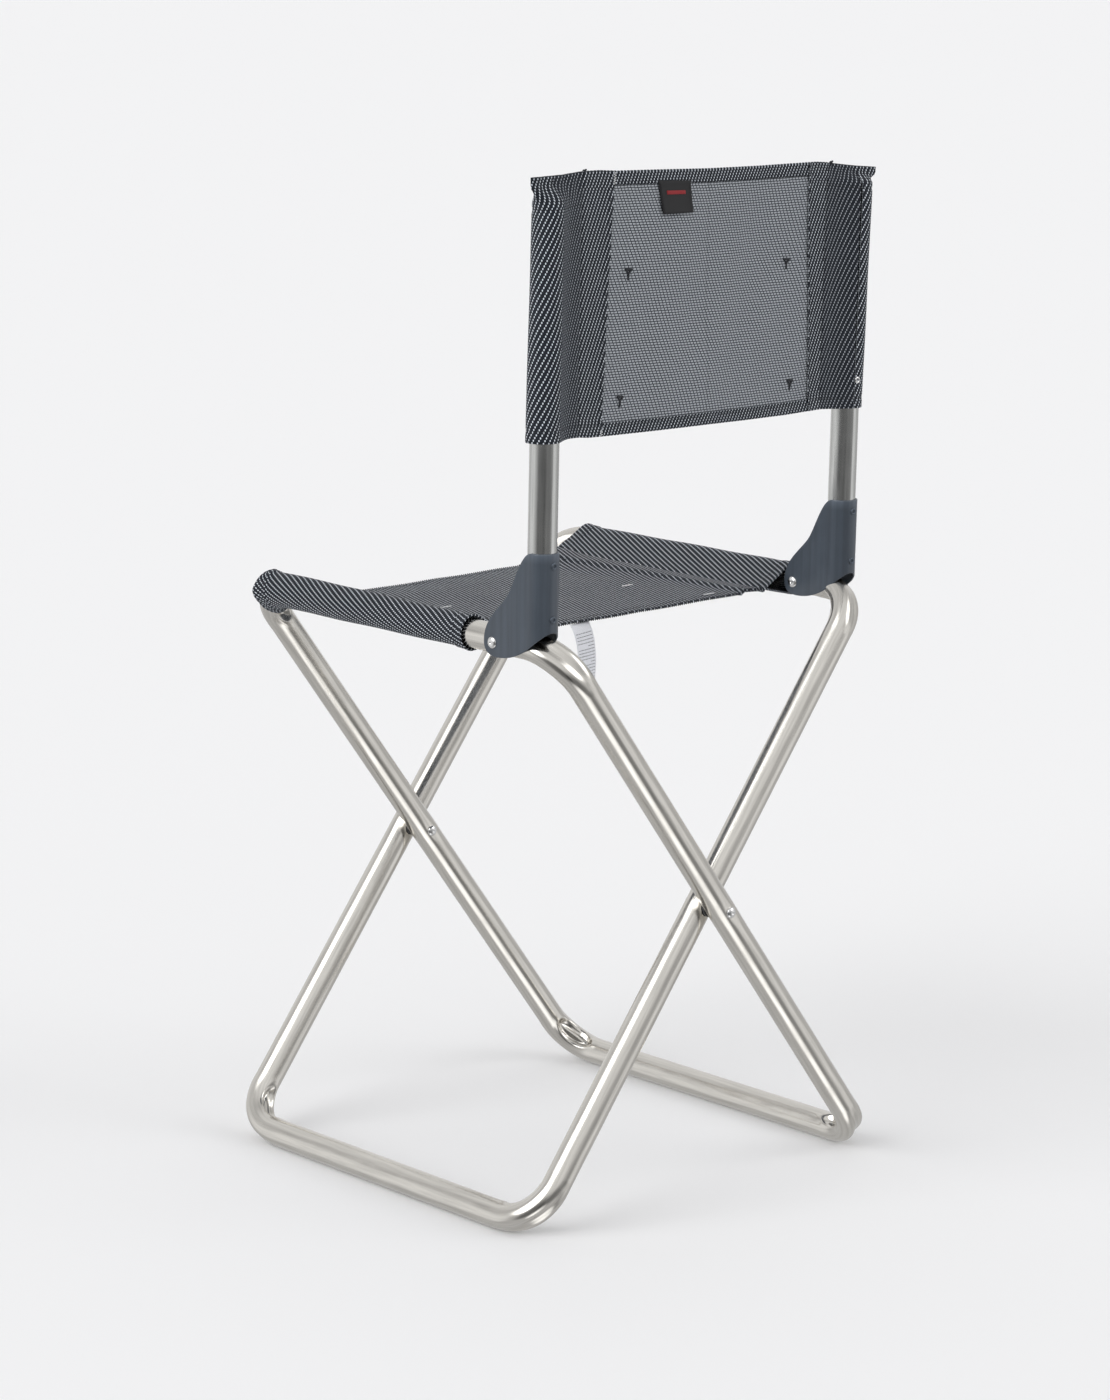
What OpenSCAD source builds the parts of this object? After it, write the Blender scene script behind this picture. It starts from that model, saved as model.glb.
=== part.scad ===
// Folding camp chair: two looped tube frames that cross as a scissor, a fabric seat sling,
// and two folding posts that carry a fabric backrest.
// Millimetres. +Z is up, -Y is the sitter's front, +X is the sitter's left.
// The origin is on the floor, midway between the two frames.

/* [Frame loops] */
// Outer diameter of the aluminium tube
tube_d = 22; // [18:0.5:25]
// Wall thickness of the tube
tube_wall = 1.5; // [1.2:0.1:2]
// Distance between the two seat tubes, axis to axis
seat_span = 355; // [345:1:370]
// Distance between the two floor tubes, axis to axis
foot_span = 349; // [340:1:365]
// Height of the seat tube axes above the floor
seat_z = 462; // [440:1:480]
// Depth of one loop, leg axis to leg axis
loop_depth = 343; // [335:1:360]
// Centreline radius of the loop's corners
bend_r = 36; // [34:1:40]
// Thickness of the spacer between two crossing legs
spacer_t = 1.4; // [1:0.1:2]

/* [Backrest] */
// Distance of a bracket's hinge rivet in front of its frame's rear leg
hinge_from_leg = 59.2; // [57:0.1:62]
// Distance of the post axis behind the hinge rivet
post_back = 37.5; // [36:0.5:39]
// Backward lean of the posts, in degrees
post_lean = 0.5; // [0:0.1:2]
// Height of the bracket's top edge above the hinge rivet
bracket_h = 72; // [66:1:78]
// Height of the post's top above the hinge rivet
post_top = 322; // [310:1:330]
// Height of the back fabric's lower edge above the hinge rivet
back_low = 149; // [130:1:160]
// Height of the back fabric's upper edge above the hinge rivet
back_high = 343; // [340:1:350]

/* [Seat] */
// Front edge of the seat fabric, measured forward from the centre
seat_front = 150; // [145:1:155]
// Rear edge of the seat fabric, measured back from the centre
seat_rear = 89; // [70:1:89]
// Thickness of the fabric in one layer
fabric_t = 0.7; // [0.6:0.1:0.8]

/* [Hidden] */
$fn = 48;

left = 1;
right = -1;
tube_r = tube_d / 2;
bore_r = tube_r - tube_wall;
// The frames sit side by side: each is half a tube and half a spacer off the centre.
frame_shift = (tube_d + spacer_t) / 2;
leg_rise = seat_z - tube_r;
leg_run = (seat_span + foot_span) / 2;
leg_len = norm([leg_rise, leg_run]);
leg_tilt = atan(leg_run / leg_rise);
// Where a leg's axis crosses the middle of the chair
pivot_z = tube_r + leg_rise * foot_span / 2 / leg_run;
hinge_y = loop_depth / 2 - hinge_from_leg;
bend_start = loop_depth / 2 - bend_r;

// Rivets
run_gap = 0.05;
pivot_rivet_r = 3;
hinge_rivet_r = 3;
small_rivet_r = 1.6;
head_r = 4.5;
head_h = 2.2;
hinge_head_h = 1.9;
small_head_r = 2.7;
small_head_h = 1.1;
small_tail = 1.2;

// Frame details
seam_gap = 0.3;
joiner_len = 70;
joiner_gap = 0.05;
spacer_r = 8;

// Bracket: a thin channel that wraps the post from behind and straddles the seat tube
channel_r = tube_r + 0.1;
channel_wall = 1.5;
cheek_in = tube_r + 1.1;
cheek_wall = 1.5;
cheek_out = cheek_in + cheek_wall;
cheek_end = 22;
lobe_low = 10.5;
lobe_front = 9;
web_low = 14.5;
post_rivet_z = [23, 63];
post_low = 18;

// Fabric details
sleeve_in = tube_r + 0.2;
sleeve_out = sleeve_in + fabric_t;
seam_t = 2 * fabric_t;
cloth_gap = 0.3;
seat_seam_x = 150;
seat_drop = 0.6;
ear_out = 21.5;
ear_h = 13;
sleeve_rivet_z = 168.5;
label_w = 26;
label_h = 62;
label_x = 55;
label_t = 0.8;
tag_w = 33;
tag_h = 23;
tag_x = 21;
tag_t = 0.8;

// ---- Shared pieces of geometry ----

function bezier(a, b, c, d, steps) =
  [for (i = [0:steps - 1]) let (t = i / steps, u = 1 - t)
    u * u * u * a + 3 * u * u * t * b + 3 * u * t * t * c + t * t * t * d];

// Puts a part that is drawn for the left side, about its own frame's centre, in its place.
module on_side(side) {
  translate([0, side * frame_shift, 0])
    if (side == left) children();
    else mirror([1, 0, 0]) children();
}

// Lays the loop's own plane along the slope of the legs.
module on_loop_plane() {
  translate([-foot_span / 2, 0, tube_r]) rotate([0, leg_tilt - 90, 0]) children();
}

// Moves to the hinge rivet of the left bracket, leaned back with the post.
module on_hinge() {
  translate([seat_span / 2, hinge_y, seat_z]) rotate([-post_lean, 0, 0]) children();
}

module ring(outer, inner) {
  difference() {
    circle(outer);
    circle(inner);
  }
}

module pipe(len, outer, inner) {
  linear_extrude(len) ring(outer, inner);
}

module elbow(turn, outer, inner) {
  rotate_extrude(angle = turn) translate([bend_r, 0]) ring(outer, inner);
}

// A closed loop of tube: two legs, two cross tubes and four bent corners.
module loop(outer, inner) {
  for (end = [-1, 1])
    translate([bend_r, end * loop_depth / 2, 0]) rotate([0, 90, 0])
      pipe(leg_len - 2 * bend_r, outer, inner);
  for (x = [0, leg_len])
    translate([x, -bend_start, 0]) rotate([-90, 0, 0]) pipe(2 * bend_start, outer, inner);
  for (corner = [0:3])
    translate([corner == 0 || corner == 3 ? leg_len - bend_r : bend_r,
               corner < 2 ? bend_start : -bend_start, 0])
      rotate([0, 0, 90 * corner]) elbow(90, outer, inner);
}

// A low dome that stands on the plane z = 0.
module dome(radius, height) {
  sphere_r = (radius * radius + height * height) / (2 * height);
  intersection() {
    translate([0, 0, height - sphere_r]) sphere(sphere_r, $fn = 96);
    cylinder(r = radius, h = height);
  }
}

// A rivet along +Y, with a dome on each end.
module pivot_rivet_shape(grip) {
  rotate([-90, 0, 0]) {
    cylinder(r = pivot_rivet_r, h = grip);
    translate([0, 0, grip]) dome(head_r, head_h);
    mirror([0, 0, 1]) dome(head_r, head_h);
  }
}

// ---- Frames ----

module frame_tube(side) {
  color([0.78, 0.76, 0.72]) on_side(side) difference() {
    on_loop_plane() loop(tube_r, bore_r);
    // Holes for the scissor rivets, through both legs
    translate([0, loop_depth / 2 + tube_d, pivot_z]) rotate([90, 0, 0])
      cylinder(r = pivot_rivet_r + run_gap, h = loop_depth + 2 * tube_d);
    // Hole for the bracket's hinge rivet
    translate([seat_span / 2, hinge_y, seat_z]) rotate([0, 90, 0])
      cylinder(r = hinge_rivet_r + run_gap, h = 2 * tube_d, center = true);
    // The butt joint that closes the loop, hidden by the seat sleeve
    translate([seat_span / 2, 0, seat_z]) cube([2 * tube_d, seam_gap, 2 * tube_d], center = true);
  }
}

module frame_joiner(side) {
  color([0.6, 0.6, 0.6]) on_side(side)
    translate([seat_span / 2, -joiner_len / 2, seat_z]) rotate([-90, 0, 0])
      pipe(joiner_len, bore_r - joiner_gap, bore_r - joiner_gap - tube_wall);
}

// Crown of the inner leg to crown of the outer leg, with a running gap under each head
pivot_grip = 2 * tube_d + spacer_t + 2 * run_gap;

module pivot_rivet(end) {
  color([0.85, 0.85, 0.85])
    translate([0, end * loop_depth / 2 - pivot_grip / 2, pivot_z]) pivot_rivet_shape(pivot_grip);
}

module pivot_spacer(end) {
  color([0.3, 0.3, 0.32])
    translate([0, end * loop_depth / 2 - spacer_t / 2 + run_gap, pivot_z]) rotate([-90, 0, 0])
      pipe(spacer_t - 2 * run_gap, spacer_r, pivot_rivet_r + run_gap);
}

// ---- Brackets and posts ----

// Plan of the channel: straight cheeks in front, then a half round that hugs the post
module channel_plan(half_front, radius) {
  translate([0, post_back]) circle(radius);
  polygon([
    [-half_front, -2 * lobe_low], [half_front, -2 * lobe_low],
    [half_front, cheek_end], [radius, post_back],
    [-radius, post_back], [-half_front, cheek_end],
  ]);
}

// Side outline of a cheek in the Y-Z plane, with the hinge rivet at its origin
module cheek_outline() {
  rear = post_back + tube_d;
  waist = [17.5, 41.5];
  front = [-lobe_front, 2];
  toe = [4, -lobe_low];
  heel = [post_back + channel_r + 2, web_low];
  polygon(concat(
    [[rear, web_low], [rear, bracket_h]],
    bezier([post_back + 0.5, bracket_h], [30, bracket_h], [26, 58], waist, 8),
    bezier(waist, [10.8, 29.2], [-8.5, 20], front, 10),
    bezier(front, [-9.6, -7], [-5, -lobe_low], toe, 6),
    bezier(toe, [22, -lobe_low], [38, -2], heel, 12),
    [heel]
  ));
}

module bracket(side) {
  color([0.29, 0.33, 0.37]) on_side(side) difference() {
    on_hinge() intersection() {
      translate([0, 0, -2 * lobe_low]) linear_extrude(bracket_h + 4 * lobe_low) difference() {
        channel_plan(cheek_out, channel_r + channel_wall);
        channel_plan(cheek_in, channel_r);
      }
      rotate([90, 0, 90]) linear_extrude(4 * tube_d, center = true) cheek_outline();
    }
    on_hinge() rotate([0, 90, 0])
      cylinder(r = hinge_rivet_r + run_gap, h = 4 * tube_d, center = true);
    on_hinge() for (z = post_rivet_z) translate([0, post_back, z]) rotate([-90, 0, 0])
      cylinder(r = small_rivet_r + run_gap, h = tube_d);
    // Room for the seat tube where it bends down behind the hinge
    on_loop_plane() translate([leg_len - bend_r, bend_start, 0]) elbow(90, tube_r + 0.4, 1);
  }
}

module hinge_rivet(side) {
  grip = 2 * (cheek_out + 2 * run_gap);
  color([0.88, 0.88, 0.88]) on_side(side)
    translate([seat_span / 2, hinge_y, seat_z]) rotate([0, 90, 0]) {
      cylinder(r = hinge_rivet_r, h = grip, center = true);
      translate([0, 0, grip / 2]) dome(head_r, hinge_head_h);
      mirror([0, 0, 1]) translate([0, 0, grip / 2]) dome(head_r, hinge_head_h);
    }
}

module post(side) {
  color([0.78, 0.76, 0.72]) on_side(side) on_hinge() translate([0, post_back, 0])
    difference() {
      translate([0, 0, post_low]) pipe(post_top - post_low, tube_r, bore_r);
      for (z = post_rivet_z) translate([0, 0, z]) rotate([-90, 0, 0])
        cylinder(r = small_rivet_r + run_gap, h = tube_d);
      translate([0, 0, sleeve_rivet_z]) rotate([side * 90, 0, 0])
        cylinder(r = small_rivet_r + run_gap, h = tube_d);
    }
}

// A small rivet along +Y whose dome sits on a round surface of the given radius
module small_rivet_shape(surface_r) {
  difference() {
    rotate([-90, 0, 0]) {
      cylinder(r = small_rivet_r, h = surface_r + small_head_h / 2);
      translate([0, 0, surface_r - small_head_h / 3]) dome(small_head_r, small_head_h * 4 / 3);
    }
    // Hollow out everything but the shank inside the seating surface
    translate([0, 0, -small_head_r * 2]) difference() {
      cylinder(r = surface_r + 0.01, h = 4 * small_head_r);
      translate([0, surface_r, 2 * small_head_r]) rotate([90, 0, 0])
        cylinder(r = small_rivet_r, h = surface_r - bore_r + small_tail);
    }
  }
}

module post_rivets(side) {
  color([0.5, 0.52, 0.55]) on_side(side) on_hinge()
    for (z = post_rivet_z) translate([0, post_back, z])
      small_rivet_shape(channel_r + channel_wall);
}

module post_plug(side) {
  color([0.15, 0.15, 0.16]) on_side(side) on_hinge() translate([0, post_back, post_top]) {
    translate([0, 0, -14]) cylinder(r = bore_r - joiner_gap, h = 14);
    dome(tube_r, 4);
  }
}

// ---- Seat fabric ----

// The sleeve follows its tube forward past the start of the front bend.
module seat_sleeve(side) {
  front = seat_front + side * frame_shift;
  rear = seat_rear - side * frame_shift;
  turn = asin((front - bend_start) / bend_r);
  color([0.24, 0.26, 0.3]) on_side(side) difference() {
    union() {
      translate([seat_span / 2, -bend_start, seat_z]) rotate([-90, 0, 0])
        pipe(bend_start + rear, sleeve_out, sleeve_in);
      on_loop_plane() translate([leg_len - bend_r, -bend_start, 0]) rotate([0, 0, -turn])
        elbow(turn, sleeve_out, sleeve_in);
      // Flat seam allowance, running inward from under the tube
      translate([seat_seam_x, -front + 1.5, seat_z - sleeve_out])
        cube([seat_span / 2 - seat_seam_x, front + rear - 1.5, fabric_t]);
    }
    translate([seat_span / 2, -bend_start, seat_z]) rotate([-90, 0, 0])
      cylinder(r = tube_r + 0.15, h = bend_start + rear + 1);
    on_loop_plane() translate([leg_len - bend_r, -bend_start, 0]) rotate([0, 0, -90])
      elbow(90, tube_r + 0.15, 1);
  }
}

module seat_panel() {
  color([0.24, 0.26, 0.3])
    translate([-seat_seam_x + cloth_gap, -seat_front + 1.5, seat_z - sleeve_out - seat_drop])
      cube([2 * (seat_seam_x - cloth_gap), seat_front + seat_rear - 1.5, seam_t]);
}

module care_label() {
  color([0.92, 0.92, 0.93])
    translate([label_x, seat_rear - 4, seat_z - sleeve_out - seat_drop - cloth_gap - label_h])
      cube([label_w, label_t, label_h]);
}

// ---- Back fabric ----

module back_sleeve(side) {
  color([0.24, 0.26, 0.3]) on_side(side) on_hinge() translate([0, post_back, 0])
    difference() {
      union() {
        translate([0, 0, back_low])
          pipe(back_high - ear_h + 2 - back_low, sleeve_out, sleeve_in);
        // The top is sewn flat and shut, and its outer corner stands out as an ear
        translate([-sleeve_out, -seam_t / 2, back_high - ear_h])
          cube([sleeve_out + ear_out, seam_t, ear_h]);
      }
      translate([0, 0, sleeve_rivet_z]) rotate([side * 90, 0, 0])
        cylinder(r = small_rivet_r + run_gap, h = tube_d);
    }
}

// Holds the sleeve on its post: behind the post on the right, in front of it on the left.
module sleeve_rivet(side) {
  color([0.85, 0.85, 0.85]) on_side(side) on_hinge()
    translate([0, post_back, sleeve_rivet_z]) rotate([0, 0, side == left ? 180 : 0])
      small_rivet_shape(sleeve_out);
}

// Moves to the middle of the back fabric, in line with both posts.
module on_back() {
  translate([0, hinge_y, seat_z]) rotate([-post_lean, 0, 0]) translate([0, post_back, 0])
    rotate([0, 0, atan(2 * frame_shift / seat_span)]) children();
}

// Panel and the webs that run out to the posts, up to the two sleeves
module back_panel() {
  half = seat_span / 2 - sleeve_out - cloth_gap;
  color([0.42, 0.43, 0.45]) on_back() translate([-half, -seam_t / 2, back_low])
    cube([2 * half, seam_t, back_high - back_low]);
}

module back_tag() {
  color([0.08, 0.08, 0.09]) on_back()
    translate([tag_x, seam_t / 2, back_high - 9 - tag_h]) cube([tag_w, tag_t, tag_h]);
}

frame_tube(left);  // left_frame_tube
frame_tube(right);  // right_frame_tube
frame_joiner(left);  // left_frame_joiner
frame_joiner(right);  // right_frame_joiner
pivot_rivet(-1);  // front_pivot_rivet
pivot_rivet(1);  // rear_pivot_rivet
pivot_spacer(-1);  // front_pivot_spacer
pivot_spacer(1);  // rear_pivot_spacer
bracket(left);  // left_bracket
bracket(right);  // right_bracket
hinge_rivet(left);  // left_hinge_rivet
hinge_rivet(right);  // right_hinge_rivet
post(left);  // left_post
post(right);  // right_post
post_rivets(left);  // left_post_rivets
post_rivets(right);  // right_post_rivets
post_plug(left);  // left_post_plug
post_plug(right);  // right_post_plug
seat_sleeve(left);  // seat_left_sleeve
seat_sleeve(right);  // seat_right_sleeve
seat_panel();
care_label();
back_sleeve(left);  // back_left_sleeve
back_sleeve(right);  // back_right_sleeve
sleeve_rivet(left);  // left_sleeve_rivet
sleeve_rivet(right);  // right_sleeve_rivet
back_panel();
back_tag();
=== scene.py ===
from math import acos, atan2, cos, exp, hypot, pi, radians, sin, sqrt, tan

import bpy
import numpy as np
from numpy import array, concatenate, interp, linspace, stack
from numpy.linalg import norm
from mathutils import Matrix, Vector


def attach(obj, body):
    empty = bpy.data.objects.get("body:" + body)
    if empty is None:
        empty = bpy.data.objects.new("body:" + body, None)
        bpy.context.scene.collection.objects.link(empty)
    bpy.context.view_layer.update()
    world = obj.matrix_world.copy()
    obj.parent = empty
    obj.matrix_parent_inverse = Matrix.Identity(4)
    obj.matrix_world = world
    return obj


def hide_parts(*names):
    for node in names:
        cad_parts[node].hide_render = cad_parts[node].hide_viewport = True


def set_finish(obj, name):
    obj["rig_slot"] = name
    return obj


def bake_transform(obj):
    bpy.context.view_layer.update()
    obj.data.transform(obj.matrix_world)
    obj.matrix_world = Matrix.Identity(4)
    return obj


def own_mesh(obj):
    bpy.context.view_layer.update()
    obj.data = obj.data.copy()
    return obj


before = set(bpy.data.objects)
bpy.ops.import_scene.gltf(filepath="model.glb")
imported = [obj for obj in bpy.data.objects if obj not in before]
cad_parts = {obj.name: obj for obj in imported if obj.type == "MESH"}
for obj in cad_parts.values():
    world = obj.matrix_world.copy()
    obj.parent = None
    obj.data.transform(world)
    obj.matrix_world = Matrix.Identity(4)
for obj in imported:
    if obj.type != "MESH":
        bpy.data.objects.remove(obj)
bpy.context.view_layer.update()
scene = bpy.context.scene

# ---- Sizes in millimetres, as in the CAD part ----

MM = 0.001
TUBE_R = 11.0
SEAT_SPAN, FOOT_SPAN, SEAT_Z, LOOP_DEPTH, BEND_R = 355.0, 349.0, 462.0, 343.0, 36.0
FRAME_SHIFT = 11.7
HALF_SEAT = SEAT_SPAN / 2
LEG_RISE, LEG_RUN = SEAT_Z - TUBE_R, (SEAT_SPAN + FOOT_SPAN) / 2
LEG_LEN = hypot(LEG_RISE, LEG_RUN)
TILT = atan2(LEG_RUN, LEG_RISE)
PIVOT_Z = TUBE_R + LEG_RISE * FOOT_SPAN / 2 / LEG_RUN
BEND_START = LOOP_DEPTH / 2 - BEND_R
HINGE_Y = LOOP_DEPTH / 2 - 59.2
POST_BACK, POST_LEAN = 37.5, radians(0.5)
SEAT_FRONT, SEAT_REAR = 150.0, 89.0
CLOTH_T = 0.7
SLEEVE_R = TUBE_R + 0.65
BACK_SLOPE = 2 * FRAME_SHIFT / SEAT_SPAN
# The twill repeats every four yarns. One yarn is this wide and shows this long a dash.
YARN_W, DASH_L = 0.92, 1.96

EX = array([sin(TILT), 0, cos(TILT)])
EY = array([0.0, 1, 0])
EZ = array([-cos(TILT), 0, sin(TILT)])
LOOP_ORIGIN = array([-FOOT_SPAN / 2, 0, TUBE_R])
SIDES = {"left": 1, "right": -1}


def smooth(x):
    x = np.clip(x, 0, 1)
    return x * x * (3 - 2 * x)


def bump(x, centre, width):
    return np.exp(-((x - centre) / width) ** 2)


def to_side(points, side):
    """From the left side's own space to the world: the right side is its mirror image."""
    p = array(points, float)
    p[..., 0] *= side
    p[..., 1] += side * FRAME_SHIFT
    return p


# ---- Mesh building ----


def make_mesh(name, points, faces, uv=None, materials=(), smooth_shade=True, face_material=None):
    mesh = bpy.data.meshes.new(name)
    mesh.from_pydata([tuple(p) for p in np.asarray(points) * MM], [], [tuple(f) for f in faces])
    if uv is not None:
        layer = mesh.uv_layers.new(name="cloth")
        index = np.zeros(len(mesh.loops), int)
        mesh.loops.foreach_get("vertex_index", index)
        layer.data.foreach_set("uv", (uv[index] * MM).ravel())
    mesh.polygons.foreach_set("use_smooth", [smooth_shade] * len(mesh.polygons))
    obj = bpy.data.objects.new(name, mesh)
    scene.collection.objects.link(obj)
    for m in materials:
        mesh.materials.append(m)
    if face_material is not None:
        mesh.polygons.foreach_set("material_index", list(face_material))
    mesh.validate()
    return obj


def shares(rows, cols, down=(0, 1), along=(0, 1)):
    """Shares of the way down and along a patch, at each point of its grid."""
    return np.meshgrid(linspace(*down, rows), linspace(*along, cols), indexing="ij")


def grid_faces(rows, cols, start=0, close_cols=False, close_rows=False, flip=False):
    r, c = np.meshgrid(np.arange(rows if close_rows else rows - 1),
                       np.arange(cols if close_cols else cols - 1), indexing="ij")
    r, c = r.ravel(), c.ravel()
    r2, c2 = (r + 1) % rows, (c + 1) % cols
    f = stack([r * cols + c, r * cols + c2, r2 * cols + c2, r2 * cols + c], 1) + start
    return f[:, ::-1] if flip else f


def grid_normals(g):
    du, dv = np.gradient(g, axis=1), np.gradient(g, axis=0)
    n = np.cross(du, dv)
    return n / np.maximum(norm(n, axis=2, keepdims=True), 1e-9)


def slab_faces(rows, cols, flip):
    """Faces of two grids listed one after the other, and of the rim that joins their edges."""
    count = rows * cols
    ring = ([(0, c) for c in range(cols)] + [(r, cols - 1) for r in range(1, rows)]
            + [(rows - 1, c) for c in range(cols - 2, -1, -1)] + [(r, 0) for r in range(rows - 2, 0, -1)])
    ids = array([r * cols + c for r, c in ring])
    nxt = np.roll(ids, -1)
    rim = stack([ids, ids + count, nxt + count, nxt], 1)
    return [grid_faces(rows, cols, 0, flip=flip), grid_faces(rows, cols, count, flip=not flip),
            rim[:, ::-1] if flip else rim]


def sheet(name, g, uv, thick, materials, flip=False):
    """A sheet of that thickness about the grid g. Its face side is where the grid's normal points, unless flipped."""
    rows, cols = g.shape[:2]
    n = grid_normals(g) * (-1 if flip else 1)
    top, low = g + n * thick / 2, g - n * thick / 2
    faces = slab_faces(rows, cols, flip)
    side = np.repeat([0, 1, 1], [len(f) for f in faces])
    points = concatenate([top.reshape(-1, 3), low.reshape(-1, 3)])
    u = uv.reshape(-1, 2)
    return make_mesh(name, points, concatenate(faces), concatenate([u, u]), materials,
                     face_material=np.minimum(side, len(materials) - 1))


def turns(count):
    """Evenly spaced angles of one whole turn."""
    return np.arange(count) * 2 * pi / count


def across(axis):
    """Two unit vectors square to an axis and to each other."""
    u = np.cross(axis, [0, 0, 1] if abs(axis[2]) < 0.9 else [1, 0, 0])
    u /= norm(u)
    return u, np.cross(axis, u)


def capsule(a, b, r, around=8, caps=3):
    """Points and faces of a rounded thread from a to b."""
    a, b = array((a, b), float)
    t = (b - a) / max(norm(b - a), 1e-9)
    u, v = across(t)
    ph = linspace(-pi / 2, 0, caps + 1)[1:]
    rings = [(a + t * r * sin(p), r * cos(p)) for p in ph] + [(b - t * r * sin(p), r * cos(p)) for p in ph[::-1]]
    k = turns(around)
    points = [a - t * r] + [c + q * (cos(x) * u + sin(x) * v) for c, q in rings for x in k] + [b + t * r]
    n = len(rings)
    faces = [(0, 1 + (i + 1) % around, 1 + i) for i in range(around)]
    faces += list(grid_faces(n, around, 1, close_cols=True))
    last = 1 + n * around
    faces += [(last, last - around + i, last - around + (i + 1) % around) for i in range(around)]
    return points, faces


class Heap:
    """Collects small shapes into one mesh."""

    def __init__(self):
        self.points, self.faces = [], []

    def add(self, points, faces):
        k = len(self.points)
        self.points += list(points)
        self.faces += [tuple(int(i) + k for i in f) for f in faces]

    def thread(self, a, b, r):
        self.add(*capsule(a, b, r))

    def build(self, name, material):
        return make_mesh(name, self.points, self.faces, materials=[material])


# ---- Materials ----


class Nodes:
    """Short names for building the nodes of a material, or of the world."""

    def __init__(self, name, kind="materials", shader="Principled BSDF"):
        self.owner = getattr(bpy.data, kind).new(name)
        self.owner.use_nodes = True
        self.tree = self.owner.node_tree
        self.shader = self.tree.nodes[shader]

    def node(self, kind, inputs=(), **settings):
        n = self.tree.nodes.new("ShaderNode" + kind)
        for k, v in settings.items():
            setattr(n, k, v)
        for k, v in dict(inputs).items():
            self.put(v, n.inputs[k])
        return n

    def put(self, value, socket):
        if hasattr(value, "is_output"):
            self.tree.links.new(value, socket)
        else:
            socket.default_value = value

    def math(self, kind, a, b=0.0, c=0.0):
        return self.node("Math", {0: a, 1: b, 2: c}, operation=kind).outputs[0]

    def mul(self, a, b):
        return self.math("MULTIPLY", a, b)

    def add(self, a, b):
        return self.math("ADD", a, b)

    def sub(self, a, b):
        return self.math("SUBTRACT", a, b)

    def place(self):
        """Coordinates that stay with the piece."""
        return self.node("TexCoord").outputs["Object"]

    def stretched(self, vector, scale, turn=(0, 0, 0)):
        return self.node("Mapping", {"Vector": vector, "Rotation": turn, "Scale": scale}).outputs[0]

    def cloth(self):
        """The cloth's own flat coordinates, in metres."""
        uv = self.node("UVMap", uv_map="cloth").outputs[0]
        return self.node("SeparateXYZ", {0: uv}).outputs[:2]

    def vector(self, x, y, z=0.0):
        return self.node("CombineXYZ", {0: x, 1: y, 2: z}).outputs[0]

    def noise(self, vector, scale, detail=2.0, rough=0.5):
        inputs = {"Vector": vector, "Scale": scale, "Detail": detail, "Roughness": rough}
        return self.node("TexNoise", inputs).outputs[0]

    def ramp(self, value, low, high, to_low=0.0, to_high=1.0, kind="LINEAR"):
        inputs = {0: value, 1: low, 2: high, 3: to_low, 4: to_high}
        return self.node("MapRange", inputs, clamp=True, interpolation_type=kind).outputs[0]

    def mix(self, factor, a, b):
        n = self.node("Mix", data_type="RGBA")
        for s, v in ((n.inputs[0], factor), (n.inputs[6], a), (n.inputs[7], b)):
            self.put(v, s)
        return n.outputs[2]

    def bump(self, height, strength, distance):
        n = self.node("Bump", {"Height": height, "Strength": strength, "Distance": distance})
        self.tree.links.new(n.outputs[0], self.shader.inputs["Normal"])

    def set(self, **values):
        for k, v in values.items():
            self.put(v, self.shader.inputs[k.replace("_", " ")])
        return self.owner


def shade(colour, times=1.0, plus=0.0):
    """The colour made darker or paler, with its alpha."""
    return tuple(min(1, c * times + plus) for c in colour) + (1,)


# Scale of the fine and of the broad scratches along the metal, as a share of their scale across it
SCRATCH_STRETCH = (0.012, 0.05)


def metal(name, colour, rough, streak=1.0, flat=False):
    """Bare drawn metal: fine scratches along the flat coordinates or the height, soft haze and a few dark specks."""
    m = Nodes(name)
    place = m.place()
    if flat:
        u, v = m.cloth()
        lines, wide = (m.vector(u, m.mul(v, k)) for k in SCRATCH_STRETCH)
    else:
        lines, wide = (m.stretched(place, (1, 1, k)) for k in SCRATCH_STRETCH)
    fine = m.noise(lines, 2600.0, 3.0, 0.6)
    broad = m.noise(wide, 420.0, 2.0)
    haze = m.noise(place, 38.0, 3.0, 0.55)
    specks = m.ramp(m.noise(place, 900.0, 2.0), 0.68, 0.76)
    dark = shade(colour, 0.72)
    tone = m.mix(m.ramp(broad, 0.38, 0.7), shade(colour), shade(colour, 0.86))
    tone = m.mix(m.mul(m.ramp(fine, 0.6, 0.78), 0.5 * streak), tone, dark)
    tone = m.mix(m.mul(specks, 0.35), tone, dark)
    m.bump(fine, 0.10 * streak, 0.0002)
    roughness = m.add(m.ramp(haze, 0.3, 0.7, rough - 0.05, rough + 0.07), m.mul(fine, 0.05))
    return m.set(Base_Color=tone, Metallic=1.0, Roughness=roughness)


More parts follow.
